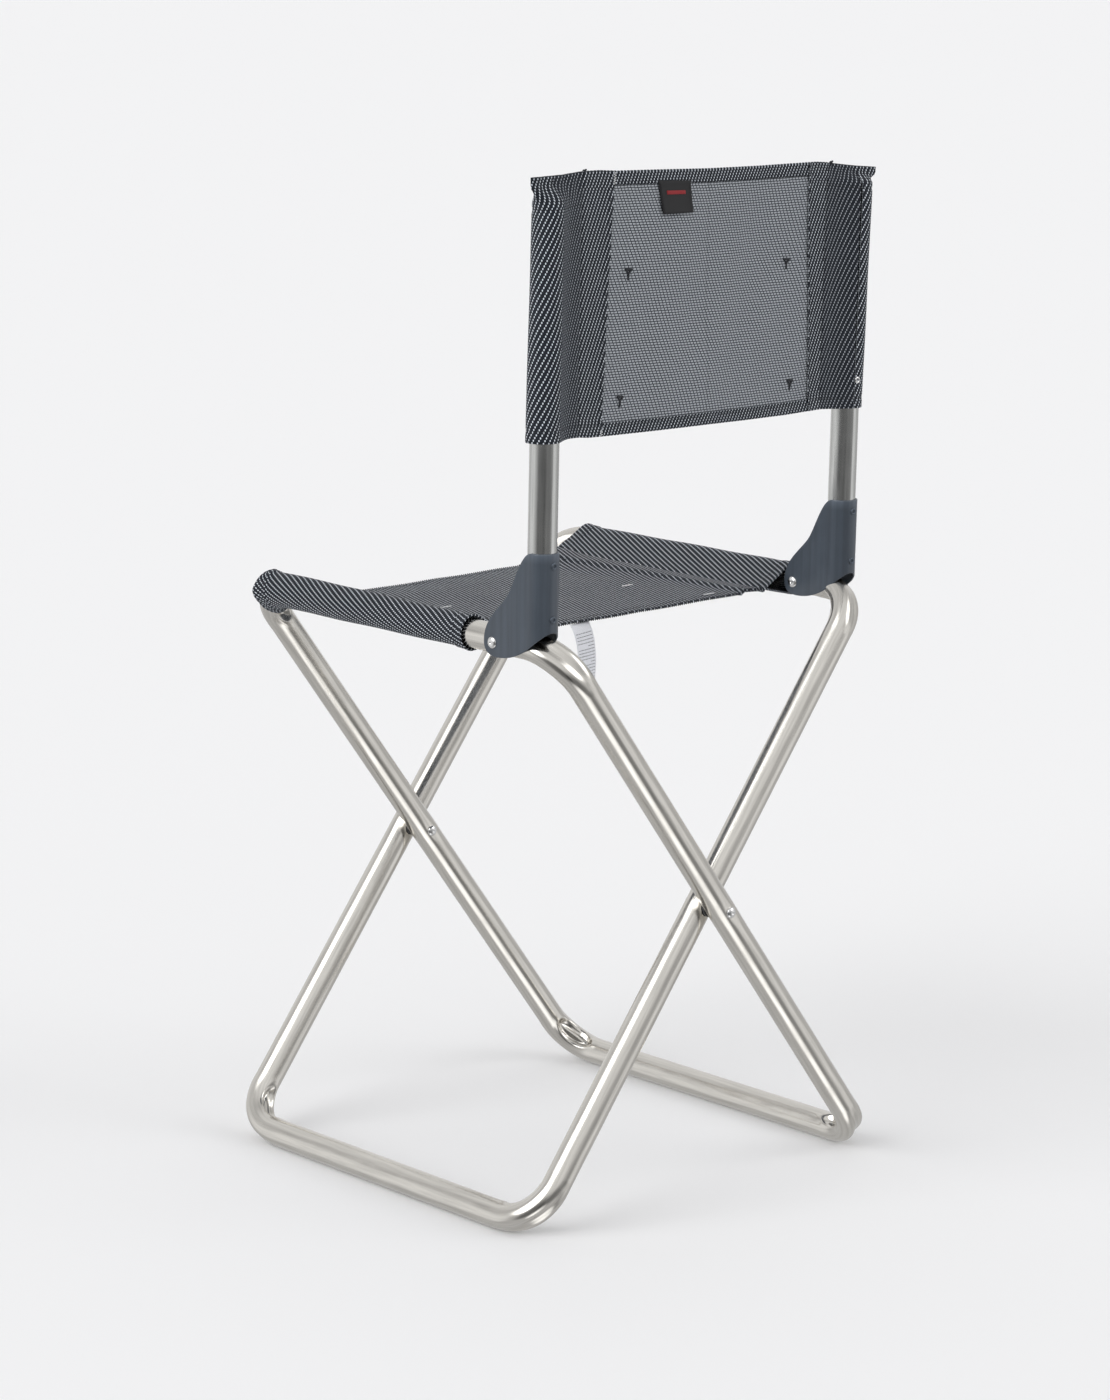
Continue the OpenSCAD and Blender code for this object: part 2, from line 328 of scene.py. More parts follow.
def woven(name, dash, second=None):
    """Twill whose dashes climb to the right. One yarn in four shows its dash, or three in four beside a second dark."""
    m = Nodes(name)
    u, v = m.cloth()
    wobble = m.noise(m.vector(u, v), 90.0, 2.0)
    yarn = m.add(m.math("DIVIDE", u, YARN_W * MM), m.mul(wobble, 0.5))
    pick = m.add(m.math("DIVIDE", v, DASH_L * MM), m.mul(wobble, 0.35))
    i, j = m.math("FLOOR", yarn), m.math("FLOOR", pick)
    fu, fv = (m.sub(m.math("FRACT", x), 0.5) for x in (yarn, pick))
    step = m.math("FLOORED_MODULO", m.sub(i, j), 4.0)
    chosen = m.math("LESS_THAN", step, 0.5)
    # Each yarn float is a rounded dash: 1 on its crest and 0 between yarns
    lengthwise = m.math("POWER", m.math("ABSOLUTE", fv), 3.0)
    crest = m.math("MAXIMUM", m.sub(1.0, m.add(m.mul(m.mul(fu, fu), 3.2), m.mul(lengthwise, 11.0))), 0.0)
    fibre = m.noise(m.vector(u, m.mul(v, 0.25)), 5200.0, 1.0)
    shape = m.ramp(crest, 0.2, 0.55)
    light = m.mul(m.ramp(fibre, 0.2, 0.8, 0.82, 1.0), shape)
    plain = m.mix(m.ramp(crest, 0.05, 0.7), shade(NAVY, 0.45), shade(NAVY))
    marked = m.mix(light, plain, shade(dash))
    if second:
        colour = m.mix(chosen, marked, m.mix(light, shade(second, 0.55), shade(second)))
    else:
        colour = m.mix(chosen, plain, marked)
    m.bump(m.add(crest, m.mul(chosen, 0.25)), 0.55, 0.0004)
    return m.set(Base_Color=colour, Roughness=0.6, Specular_IOR_Level=0.25)


def plastic(name, colour, rough, grain=0.25, rim=None):
    """Moulded plastic: satin, with a fine grain, faint draw lines and scuffs, and a band along the top rim painted
    paler.
    """
    m = Nodes(name)
    place = m.place()
    cloud = m.noise(place, 45.0, 3.0)
    lines = m.noise(m.stretched(place, (1, 1, 0.02)), 500.0, 2.0)
    scuff = m.ramp(m.noise(m.stretched(place, (1, 12, 1), (0.4, 0.2, 0.9)), 160.0, 3.0), 0.66, 0.75)
    tone = m.mix(m.ramp(cloud, 0.35, 0.7), shade(colour), shade(colour, 1.12))
    draw = m.noise(m.stretched(place, (1, 1, 0.035)), 230.0, 3.0)
    tone = m.mix(m.ramp(draw, 0.36, 0.66, 0.0, 0.6), tone, shade(colour, 0.7))
    tone = m.mix(m.mul(scuff, 0.18), tone, shade(colour, 1.7, 0.02))
    if rim:
        # Given a rim, the band from that height up is painted paler, in patches
        height = m.node("SeparateXYZ", {0: place}).outputs[2]
        pale_rim_band = m.mul(m.ramp(height, *rim), m.ramp(draw, 0.3, 0.6, 0.75, 0.35))
        tone = m.mix(pale_rim_band, tone, shade(colour, 2.1, 0.02))
    m.bump(m.add(m.noise(place, 1400.0, 1.0), m.mul(lines, 0.8)), grain, 0.00008)
    return m.set(Base_Color=tone, Roughness=m.ramp(cloud, 0.3, 0.7, rough - 0.04, rough + 0.06))


def spun(name, colour):
    """Thread, cord or ribbon of one colour, with its fibres showing."""
    m = Nodes(name)
    twist = m.noise(m.place(), 2600.0, 2.0)
    m.bump(twist, 0.5, 0.0002)
    tone = m.mix(m.ramp(twist, 0.3, 0.7), shade(colour, 0.75), shade(colour))
    return m.set(Base_Color=tone, Roughness=0.7)


# Roughness of the bright aluminium
POLISHED = 0.17
NAVY, DASH = (0.013, 0.018, 0.028), (0.78, 0.83, 0.90)
tube_metal = metal("tube aluminium", (0.76, 0.735, 0.69), POLISHED, flat=True)
post_metal = metal("post aluminium", (0.64, 0.645, 0.635), POLISHED)
rivet_metal = metal("rivet aluminium", (0.86, 0.86, 0.86), POLISHED, 0.3)
small_rivet_metal = metal("small rivet aluminium", (0.15, 0.175, 0.21), 0.5, 0.3)
joiner_metal = metal("joiner aluminium", (0.6, 0.6, 0.6), 0.4)
slate = plastic("slate plastic", (0.056, 0.070, 0.090), 0.34, rim=(0.526, 0.5345))
black_plastic = plastic("black plastic", (0.02, 0.02, 0.022), 0.5)
spacer_plastic = plastic("spacer plastic", (0.05, 0.05, 0.055), 0.5)
face_cloth = woven("twill face", DASH)
# The face cloth again, with its dash colours darkened as painted shade for the deep fold between back sleeve and flap
painted_fold_shade_cloth = woven("twill with painted fold shade", (0.47, 0.50, 0.55))
back_cloth = woven("twill reverse", (0.50, 0.53, 0.57), (0.052, 0.060, 0.074))
dark_thread = spun("dark thread", (0.02, 0.023, 0.03))
grey_thread = spun("grey thread", (0.12, 0.13, 0.15))
white_thread = spun("white thread", (0.75, 0.76, 0.77))
# Near-black plastic for the disc in each ring rivet's open middle: painted shade in the hole
painted_hole_shade = plastic("rivet hole painted shade", (0.015, 0.016, 0.018), 0.6)
red_thread = spun("red thread", (0.30, 0.012, 0.018))
tag_cloth = spun("tag cloth", (0.012, 0.012, 0.014))
label_ribbon = spun("label ribbon", (0.86, 0.87, 0.92))


# ---- Frame tubes: closed loops with pressed bends, and flats where the legs cross ----

LEG_PIVOT = (PIVOT_Z - TUBE_R) / cos(TILT)
# Stations on a straight run away from bends and rivets are this far apart. FAR stands for no rivet on the run.
STATION_STEP, FAR = 6.0, 1e4


def loop_stations():
    """Stations round one loop: distance along, centre, outward direction, and distance to the nearest bend's middle
    and to the nearest rivet."""
    out, s = [], 0.0
    quarter = BEND_R * pi / 2

    def straight(a, b, angle, length, rivet=FAR):
        nonlocal s
        o = array([cos(angle), sin(angle)])
        t = array([sin(angle), -cos(angle)])
        x = 0.0
        while x < length - 0.01:
            near = min(x, length - x)
            from_rivet = abs(x - rivet)
            out.append((s + x, a + t[0] * x, b + t[1] * x, o, near + quarter / 2, from_rivet))
            x += 1.2 if near < 14 else (1.5 if from_rivet < 20 else STATION_STEP)
        s += length

    def corner(a, b, angle):
        nonlocal s
        steps = 48
        for k in range(steps):
            q = angle - pi / 2 * k / steps
            o = array([cos(q), sin(q)])
            c = array([a, b]) + BEND_R * o
            out.append((s + quarter * k / steps, c[0], c[1], o, abs(k / steps - 0.5) * quarter, FAR))
        s += quarter

    leg = LEG_LEN - 2 * BEND_R
    lo, hi = BEND_R, LEG_LEN - BEND_R
    straight(LEG_LEN, 0, 0, BEND_START)
    corner(hi, -BEND_START, 0)
    straight(hi, -LOOP_DEPTH / 2, -pi / 2, leg, hi - LEG_PIVOT)
    corner(lo, -BEND_START, -pi / 2)
    straight(0, -BEND_START, -pi, 2 * BEND_START)
    corner(lo, BEND_START, -pi)
    straight(lo, LOOP_DEPTH / 2, -3 * pi / 2, leg, LEG_PIVOT - lo)
    corner(hi, BEND_START, -3 * pi / 2)
    straight(LEG_LEN, BEND_START, -2 * pi, BEND_START)
    return out


def pressed_radius(q, from_rivet, around):
    """The tube's radius round one station. The bending tool leaves a groove outside and a pocket inside each bend."""
    a = np.abs((turns(around) + pi) % (2 * pi) - pi)
    r = np.full(around, TUBE_R)
    if q < 36:
        w = cos(min(q / 34, 1) * pi / 2) ** 1.3
        r = r - 3.6 * w * bump(a, 0, 0.52) + 0.9 * w * bump(a, 0.92, 0.4) + 1.1 * w * bump(a, 1.6, 0.5)
        rho = np.sqrt((q / 28.0) ** 2 + ((pi - a) / 0.78) ** 2)
        r = r - 4.6 * (1 - smooth((rho - 0.62) / 0.38)) + 2.9 * (1 - smooth(rho / 0.72)) + 0.4 * bump(rho, 1.1, 0.12)
    if from_rivet < 30:
        w = exp(-(from_rivet / 11.0) ** 2)
        flat = 10.35 / np.maximum(np.abs(np.cos(a)), 0.3)
        r = r + w * (np.minimum(r, flat) - r) + 0.35 * w * bump(a, pi / 2, 0.5)
    return r


def frame_tube(name):
    side, around = SIDES[name], 60
    st = loop_stations()
    centre = array([LOOP_ORIGIN + x[1] * EX + x[2] * EY for x in st])
    outs = array([x[3][0] * EX + x[3][1] * EY for x in st])
    radii = array([pressed_radius(x[4], x[5], around) for x in st])
    a = turns(around)
    points = centre[:, None] + (np.cos(a)[:, None] * outs[:, None] + np.sin(a)[:, None] * EZ) * radii[:, :, None]
    uv = stack(np.broadcast_arrays(a * TUBE_R, array([x[0] for x in st])[:, None]), 2)
    faces = grid_faces(len(st), around, close_cols=True, close_rows=True, flip=side > 0)
    obj = make_mesh(f"{name}_tube", to_side(points, side).reshape(-1, 3), faces, uv.reshape(-1, 2), [tube_metal])
    # Where the loop closes, the flat coordinates start again
    layer = obj.data.uv_layers["cloth"].data
    length = (st[-1][0] + STATION_STEP) * MM
    for poly in obj.data.polygons:
        got = [layer[i].uv for i in poly.loop_indices]
        for k, top in ((0, 2 * pi * TUBE_R * MM), (1, length)):
            if max(g[k] for g in got) - min(g[k] for g in got) > top / 2:
                for g in got:
                    if g[k] < top / 2:
                        g[k] += top
    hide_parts(f"{name}_frame_tube")
    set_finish(obj, "frame_tube")
    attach(obj, f"{name}_frame")


# ---- Rivets ----


def lathe(heap, base, axis, profile, around=40):
    """Turns a profile of (radius, height) pairs about an axis from base."""
    axis = axis / norm(axis)
    u, v = across(axis)
    k = turns(around)
    points = [base + axis * h + max(r, 0.001) * (cos(x) * u + sin(x) * v) for r, h in profile for x in k]
    heap.add(points, grid_faces(len(profile), around, close_cols=True))


def dome_profile(radius, height, dimple, skirt):
    """A pressed rivet head: rounded rim, low dome and a small dimple in its middle."""
    prof = [(radius * 0.9, -skirt), (radius, -skirt), (radius, 0.0)]
    prof += [(radius * cos(t * pi / 2) ** 0.8, height * sin(t * pi / 2)) for t in linspace(0.12, 1, 12)]
    kept = [p for p in prof if p[0] > dimple * 1.25 or p[1] <= 0]
    top = kept[-1][1]
    kept += [(dimple * 1.1, top + 0.06), (dimple * 0.9, top - 0.05), (dimple * 0.7, top - 0.3), (0.0, top - 0.38)]
    return kept


def rivet_pair(name, middle, reach, axis, head, body, node):
    """A rivet's two heads, that far either side of its middle."""
    heap = Heap()
    for sign in (1, -1):
        out = array(axis, float) * sign
        lathe(heap, array(middle) + out * reach, out, dome_profile(**head))
    obj = heap.build(name, rivet_metal)
    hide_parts(node)
    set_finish(obj, "rivet")
    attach(obj, body)


# Shape of the rivets' heads, and how far these sit from each rivet's middle
PIVOT_HEAD = {"radius": 4.5, "height": 2.3, "dimple": 1.1, "skirt": 1.2}
HINGE_HEAD = {"radius": 4.5, "height": 1.9, "dimple": 1.1, "skirt": 0.2}
PIVOT_REACH, HINGE_REACH = 2 * TUBE_R + 0.7 - 0.45, 13.7


def large_rivets():
    for name, end in (("front", -1), ("rear", 1)):
        rivet_pair(f"{name}_scissor_rivet", (0, end * LOOP_DEPTH / 2, PIVOT_Z), PIVOT_REACH, (0, 1, 0),
                   PIVOT_HEAD, "right_frame", f"{name}_pivot_rivet")
    for name, side in SIDES.items():
        rivet_pair(f"{name}_bracket_rivet", (side * HALF_SEAT, HINGE_Y + side * FRAME_SHIFT, SEAT_Z), HINGE_REACH,
                   (1, 0, 0), HINGE_HEAD, f"{name}_frame", f"{name}_hinge_rivet")


def post_place(name, x, y, z):
    """A point in the leaned post's own space: x outwards and y rearwards from its axis, z up from the hinge."""
    side = SIDES[name]
    x, y, z = np.broadcast_arrays(x, y, z)
    yy = y + POST_BACK
    cy, sy = cos(POST_LEAN), sin(POST_LEAN)
    p = stack([HALF_SEAT + x, HINGE_Y + yy * cy + z * sy, SEAT_Z - yy * sy + z * cy], -1)
    return to_side(p, side)


def ring_rivet(heap, hole_shade, base, axis):
    """A small tubular rivet: a rolled ring with an open middle, and a dark disc down in that middle as painted shade.
    """
    t = linspace(0, pi, 9)
    prof = [(2.8, -1.0)] + [(1.95 + 0.85 * cos(x), 0.75 * sin(x)) for x in t] + [(1.08, -0.9)]
    lathe(heap, base, axis, prof, 32)
    lathe(hole_shade, base, axis, [(1.09, -0.55), (0.6, -0.62), (0.0, -0.64)], 24)


def small_rivets():
    for name, side in SIDES.items():
        rear = array([0, cos(POST_LEAN), -sin(POST_LEAN)])
        for kind, heights, y, sign in (("post_rivets", (23, 63), 12.7, 1), ("sleeve_rivet", (168.5,), 12.1, -side)):
            heap, hole_shade = Heap(), Heap()
            for h in heights:
                ring_rivet(heap, hole_shade, post_place(name, 0, sign * y, h), rear * sign)
            obj = heap.build(f"{name}_{kind}_rings", rivet_metal if kind == "sleeve_rivet" else small_rivet_metal)
            dark = hole_shade.build(f"{name}_{kind}_holes", painted_hole_shade)
            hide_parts(f"{name}_{kind}")
            for o in (obj, dark):
                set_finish(o, "small_rivet")
                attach(o, f"{name}_backrest")


# ---- Brackets: thin moulded channels ----


def bezier(a, b, c, d, steps):
    t = linspace(0, 1, steps)[:, None]
    a, b, c, d = (array(p, float) for p in (a, b, c, d))
    return (1 - t) ** 3 * a + 3 * (1 - t) ** 2 * t * b + 3 * (1 - t) * t ** 2 * c + t ** 3 * d


def bracket(name):
    waist, front, toe, heel = (17.5, 41.5), (-9, 2), (4, -10.5), (50.6, 14.5)
    upper = concatenate([bezier(front, (-8.5, 20), (10.8, 29.2), waist, 60),
                            bezier(waist, (26, 58), (30, 72), (38, 72), 30), [[80, 72]]])
    lower = concatenate([bezier(front, (-9.6, -7), (-5, -10.5), toe, 60),
                            bezier(toe, (22, -10.5), (38, -2), heel, 40), [[80, 14.5]]])
    tip, arc_r = -9.12, 11.85
    # Plan of one cheek from its front tip, then half the round behind the post
    y1 = tip + (22 - tip) * (1 - np.cos(linspace(0, pi / 2, 30)))
    plan = [(12.85, y) for y in y1]
    plan += [(12.85 - 1.0 * smooth(t), 22 + (POST_BACK - 22) * t) for t in linspace(0.1, 0.95, 10)]
    plan += [(arc_r * cos(t), POST_BACK + arc_r * sin(t)) for t in linspace(0, pi / 2, 22)]
    plan = array(plan)
    whole = concatenate([plan, (plan * [-1, 1])[::-1][1:]])
    seen_y = whole[:, 1]
    top = interp(seen_y, upper[:, 0], upper[:, 1])
    low = interp(seen_y, np.maximum.accumulate(lower[:, 0]), lower[:, 1])
    low = np.minimum(low, top - 0.02)
    # Rows close together at both edges, where the wall is rounded
    edge = [np.minimum(e, (top - low) * 0.2) for e in (0, 0.12, 0.3, 0.55, 0.85)]
    inner_low, inner_top = low + edge[-1], top - edge[-1]
    z = array([low + e for e in edge]
                 + [inner_low + (inner_top - inner_low) * t for t in linspace(0, 1, 26)[1:-1]]
                 + [top - e for e in edge[::-1]])
    count, cols = z.shape
    g = stack(np.broadcast_arrays(whole[:, 0], seen_y, z), 2)
    # The plan's own normal, so both walls stay an even distance apart
    d = np.gradient(whole, axis=0)
    n = stack([d[:, 1], -d[:, 0], np.zeros(cols)], 1)
    n /= norm(n, axis=1, keepdims=True)
    gap = np.minimum(np.minimum(z - low, top - z), 0.7)
    thin = 0.75 * np.sqrt(np.clip(1 - (1 - gap / 0.7) ** 2, 0.04, 1))[..., None]
    outer, inner = g + n * thin, g - n * thin
    points = concatenate([outer.reshape(-1, 3), inner.reshape(-1, 3)])
    points = post_place(name, points[:, 0], points[:, 1] - POST_BACK, points[:, 2])
    faces = concatenate(slab_faces(count, cols, SIDES[name] < 0))
    obj = make_mesh(f"{name}_bracket_shell", points, faces, materials=[slate])
    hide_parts(f"{name}_bracket")
    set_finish(obj, "bracket")
    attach(obj, f"{name}_backrest")


for name in SIDES:
    frame_tube(name)
    bracket(name)
large_rivets()
small_rivets()
for ends, what, material in ((SIDES, "post", post_metal), (SIDES, "frame_joiner", joiner_metal),
                             (("front", "rear"), "pivot_spacer", spacer_plastic), (SIDES, "post_plug", black_plastic)):
    for end in ends:
        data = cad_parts[f"{end}_{what}"].data
        data.materials.clear()
        data.materials.append(material)


# ---- Cloth, shared by the back and the seat ----

# Section of a sleeve: the seam is this far from the tube's axis, and both webs run to it as tangents
BACK_SEAM = 34.5
# Length of the back's cloth from edge to edge, and the rows in a back sleeve's grid
BACK_LENGTH, SLEEVE_ROWS = 194.0, 92
# A hem turns in this radius, and its turned edge lies this far behind
FOLD, HEM_UNDER = 0.45, 0.92
FACE_OUT = [face_cloth, back_cloth]


def along_line(line):
    """Distance along a polyline at each of its points."""
    return concatenate([[0], np.cumsum(norm(np.diff(line, axis=0), axis=1))])


def stitches(heap, line, pitch=3.4, run=2.5, r=0.17):
    """Stitches along a polyline."""
    at = along_line(line)
    s = 0.6
    while s + run < at[-1]:
        a, b = ([interp(x, at, line[:, k]) for k in range(3)] for x in (s, s + run))
        heap.add(*capsule(a, b, r, around=6, caps=1))
        s += pitch


def sew(heap, g, rows, cols, clear, flip=False):
    """Stitches along one line of a cloth's grid, clear of its face by that much."""
    n = grid_normals(g) * (-1 if flip else 1)
    stitches(heap, g[rows, cols] + n[rows, cols] * (CLOTH_T / 2 + clear))


# ---- Back ----

# Height of the cloth's upper and lower edges across the chair
TOP_EDGE = array([(-203, 796), (-178, 798), (-160, 800), (-146, 801.6), (-130, 802.8), (-60, 802.9), (0, 803.8),
                     (60, 805.7), (105, 806.9), (125, 808.2), (145, 808.4), (165, 807), (203, 806.6)]).T
LOW_EDGE = array([(-203, 607.3), (-160, 607.8), (-143, 608.8), (-100, 608.4), (-50, 609.2), (0, 610.5), (50, 611.3),
                     (100, 612.4), (130, 613.4), (141, 614.6), (155, 615), (203, 614.4)]).T
# Where each flap ends on the rear of the panel, at the top and at the bottom
FLAP_END = {"left": (108.6, 117.6), "right": (120.0, 127.8)}
# Distance below the top edge where the sleeve starts to close, and over which it closes
CLOSING = {"left": (20.0, 15.0), "right": (13.5, 9.0)}
STITCH_BELOW_TOP, STITCH_ABOVE_LOW = {"left": 24.0, "right": 16.5}, 8.0
HEM_TOP, HEM_LOW = 10.0, 9.5
PANEL_COLS = 60
# How far the sleeve stands off its post, at the bottom and at the top
LOOSE = {"left": (2.2, 0.0), "right": (1.2, 3.6)}
# How far the ear above the post curls outwards and rearwards
EAR_CURL = {"left": (0.3, 0.8), "right": (2.0, 4.6)}
HALF_LENGTH = HALF_SEAT * hypot(1, BACK_SLOPE)
PANEL_HALF = HALF_LENGTH - BACK_SEAM


def back_space(side, p, q, z):
    """p runs from the chair's middle towards the post, q rearwards from the line through both posts, z up."""
    n = hypot(1, BACK_SLOPE)
    c, s = 1 / n, BACK_SLOPE / n
    x, y = side * p * c - q * s, side * p * s + q * c
    return stack([x, HINGE_Y + POST_BACK + tan(POST_LEAN) * (z - SEAT_Z) + y, z], -1)


def top_at(side, p):
    return interp(side * p, *TOP_EDGE)


def low_at(side, p):
    return interp(side * p, *LOW_EDGE)


def slack(side, p, z):
    """How far the taut panel stands off its flat plane, rearwards."""
    x = side * p
    d = (4.0 * bump(x, 48, 42) * bump(z, 742, 46) - 6.0 * bump(x, -72, 40) * bump(z, 745, 42)
         + 4.5 * bump(x, 8, 52) * bump(z, 645, 34) + 0.5 * np.sin(x / 9.0 + z / 31.0) * bump(z, 700, 70))
    return d * smooth((PANEL_HALF - np.abs(p)) / 45)


def back_panel(name):
    side = SIDES[name]
    p = linspace(0, PANEL_HALF, PANEL_COLS)
    turn = [(FOLD - FOLD * sin(t), cos(t), 0.2 * t) for t in linspace(0, pi, 7)[1:-1]]
    rows = [("low", HEM_LOW * (1 - t) + FOLD * t, HEM_UNDER, -HEM_LOW * (1 - t)) for t in linspace(0, 1, 5)]
    rows += [("low", a, HEM_UNDER / 2 + HEM_UNDER / 2 * q, v) for a, q, v in turn]
    rows += [("mid", t, 0.0, None) for t in linspace(0, 1, 84)]
    rows += [("top", a, HEM_UNDER / 2 - HEM_UNDER / 2 * q, v) for a, q, v in turn]
    rows += [("top", FOLD * (1 - t) + HEM_TOP * t, HEM_UNDER, HEM_TOP * t) for t in linspace(0, 1, 5)]
    g, uv = [], []
    top, low = top_at(side, p), low_at(side, p)
    for kind, a, q, v in rows:
        if kind == "low":
            z, cloth_v = low + a, v
        elif kind == "top":
            z, cloth_v = top - a, BACK_LENGTH + v
        else:
            z, cloth_v = low + FOLD + (top - low - 2 * FOLD) * a, BACK_LENGTH * a
        g.append(back_space(side, p, q + slack(side, p, z), z))
        uv.append(stack([side * p, np.full_like(p, cloth_v)], -1))
    g, uv = array(g), array(uv)
    obj = sheet(f"back_{name}_panel_cloth", g, uv, CLOTH_T, FACE_OUT, flip=side < 0)
    heap = Heap()
    for row in (1, len(rows) - 2):
        keep = slice(0, int(PANEL_COLS * (FLAP_END[name][0] - 2) / PANEL_HALF))
        sew(heap, g, row, keep, 0.05, side < 0)
    return obj, heap


def sleeve_section(closed):
    """Front web, wrap and rear web of a back sleeve as (p from the post, q) with the arc length, and the whole length.
    Where closed is 1 the sleeve lies flat."""
    web = sqrt(BACK_SEAM ** 2 - SLEEVE_R ** 2)
    tangent = pi - acos(SLEEVE_R / BACK_SEAM)
    wrap = 2 * tangent * SLEEVE_R
    total = 2 * web + wrap
    tp, tq = SLEEVE_R * cos(tangent), SLEEVE_R * sin(tangent)

    def flat(s, q_end):
        out = np.where(s <= total / 2, s, total - s) - BACK_SEAM
        apart = np.where(s <= total / 2, -0.42, 0.42) * np.clip(np.abs(s - total / 2) / 1.2, 0, 1)
        return stack([out, apart + q_end], -1)

    t = linspace(0, 1, 12)
    front = stack([-BACK_SEAM + (tp + BACK_SEAM) * t, -tq * t], -1), web * t, 0.0
    a = linspace(-tangent, tangent, 64)
    round_ = stack([SLEEVE_R * np.cos(a), SLEEVE_R * np.sin(a)], -1), web + (a + tangent) * SLEEVE_R, 0.2
    t = linspace(0, 1, 16)
    dip = -2.4 * np.sin(pi * t) ** 1.2
    rear = stack([tp + (-BACK_SEAM - tp) * t, tq + (0.85 - tq) * t + dip], -1), web + wrap + web * t, 0.45
    c = closed[:, None, None]
    return [(pq * (1 - c) + flat(s, q_end) * c, s) for pq, s, q_end in (front, round_, rear)], total


def back_sleeve(name):
    """The sleeve on one post, and the webs and flap that run inboard from it."""
    side = SIDES[name]
    v = linspace(0, 1, SLEEVE_ROWS)
    low, top = low_at(side, HALF_LENGTH + 5.0), top_at(side, HALF_LENGTH + 5.0)
    z_axis = low + (top - low) * v
    below = top - z_axis
    start, over = CLOSING[name]
    closed = smooth((start - below) / over)
    pinch = 0.7 * bump(below, STITCH_BELOW_TOP[name], 1.6) + 0.45 * bump(z_axis - low, 8.5, 1.4)
    flare = smooth((STITCH_BELOW_TOP[name] - below) / 14)
    parts, total = sleeve_section(closed)
    pieces = []
    for k, (pq, s) in enumerate(parts):
        p = HALF_LENGTH + pq[..., 0]
        q = pq[..., 1].copy()
        if k == 1:
            n = pq / np.maximum(norm(pq, axis=2, keepdims=True), 1e-6)
            wave = 0.22 * np.sin(z_axis / 17.0)[:, None] * np.sin(s / 5.0) - pinch[:, None] * (1 - closed)[:, None]
            p, q = p + n[..., 0] * wave, q + n[..., 1] * wave
            a = np.arctan2(pq[..., 1], pq[..., 0])
            loose = (interp(v, [0, 1], LOOSE[name]) * (1 - closed))[:, None]
            loose = loose * np.clip(np.cos(a + side * pi / 4), 0, 1)
            p, q = p + 0.71 * loose, q - side * 0.70 * loose
        curl = np.clip((pq[..., 0] + BACK_SEAM) / 54.0, 0, 1) ** 2 * closed[:, None]
        p, q = p + EAR_CURL[name][0] * curl, q + EAR_CURL[name][1] * curl
        ripple = (0.75 * flare * (1 - 0.3 * closed))[:, None] * np.sin(s / 1.9 + 0.6)
        q = q + ripple * np.sign(pq[..., 1] + 0.01) * 0.6
        low, top = low_at(side, p), top_at(side, p)
        z = low + (top - low) * v[:, None]
        u = side * (PANEL_HALF + s)[None, :] + 0 * z
        pieces.append([p, q, z, u, np.broadcast_to((v * BACK_LENGTH)[:, None], z.shape)])
    # Flap on the rear of the panel, riding over the hems at its two ends
    p, q, z, u, vv = pieces[2]
    ends = interp(v, [0, 1], FLAP_END[name][::-1])
    t = linspace(0, 1, 22)[1:]
    fp = PANEL_HALF + (ends[:, None] - PANEL_HALF) * t[None, :]
    low, top = low_at(side, fp), top_at(side, fp)
    fz = low + (top - low) * v[:, None]
    near = np.minimum(fz - low - HEM_LOW, top - fz - HEM_TOP)
    lift = 0.9 + 0.85 * smooth(1 - near / 3.0)
    fold = 0.35 * smooth((t - 0.82) / 0.1)[None, :]
    fq = lift + fold + slack(side, fp, fz)
    fu = side * (PANEL_HALF + total + (PANEL_HALF - fp))
    hold = lift[:, :1] - 0.9
    q = q + hold * linspace(0, 1, q.shape[1])[None, :] ** 3 * (1 - closed)[:, None]
    pieces[2][1] = q
    pieces.append([concatenate(x, 1) for x in ((p[:, -1:], fp), (q[:, -1:], fq), (z[:, -1:], fz), (u[:, -1:], fu),
                                                  (vv[:, :1], np.broadcast_to(vv[:, :1], fp.shape)))])
    low_row, high_row = (int(round((SLEEVE_ROWS - 1) * share)) for share in
                         (STITCH_ABOVE_LOW / BACK_LENGTH, 1 - STITCH_BELOW_TOP[name] / BACK_LENGTH))
    names = ("front_web", "sleeve", "rear_web", "flap")
    objects, threads = [], [Heap(), Heap(), Heap()]
    for k, (p, q, z, u, vv) in enumerate(pieces):
        g = back_space(side, p, q, z)
        # The rear web's face uses the face cloth darkened as painted fold shade
        objects.append(sheet(f"back_{name}_{names[k]}_cloth", g, stack([u, vv], -1), CLOTH_T,
                             [painted_fold_shade_cloth, back_cloth] if k == 2 else FACE_OUT, flip=side < 0))
        heap = threads[(0, 1, 2, 0)[k]]
        for row in ((), (low_row, high_row), (low_row, high_row), (low_row,))[k]:
            sew(heap, g, row, slice(None), 0.06, side < 0)
        if k == 3:
            for col in (1, g.shape[1] - 3):
                sew(heap, g, slice(2, SLEEVE_ROWS - 2), col, 0.05, side < 0)
    return objects, threads


# When the chair closes, the panel and its flaps would gather against the inner side of each post, and the webs close
# round it. Nothing here moves them: the numbers themselves are not used, and these pieces only get meshes of their own.
GATHER_X, GATHER_KEEP = 163.3, 0.085
WEB_X, WEB_KEEP = 173.5, 0.40


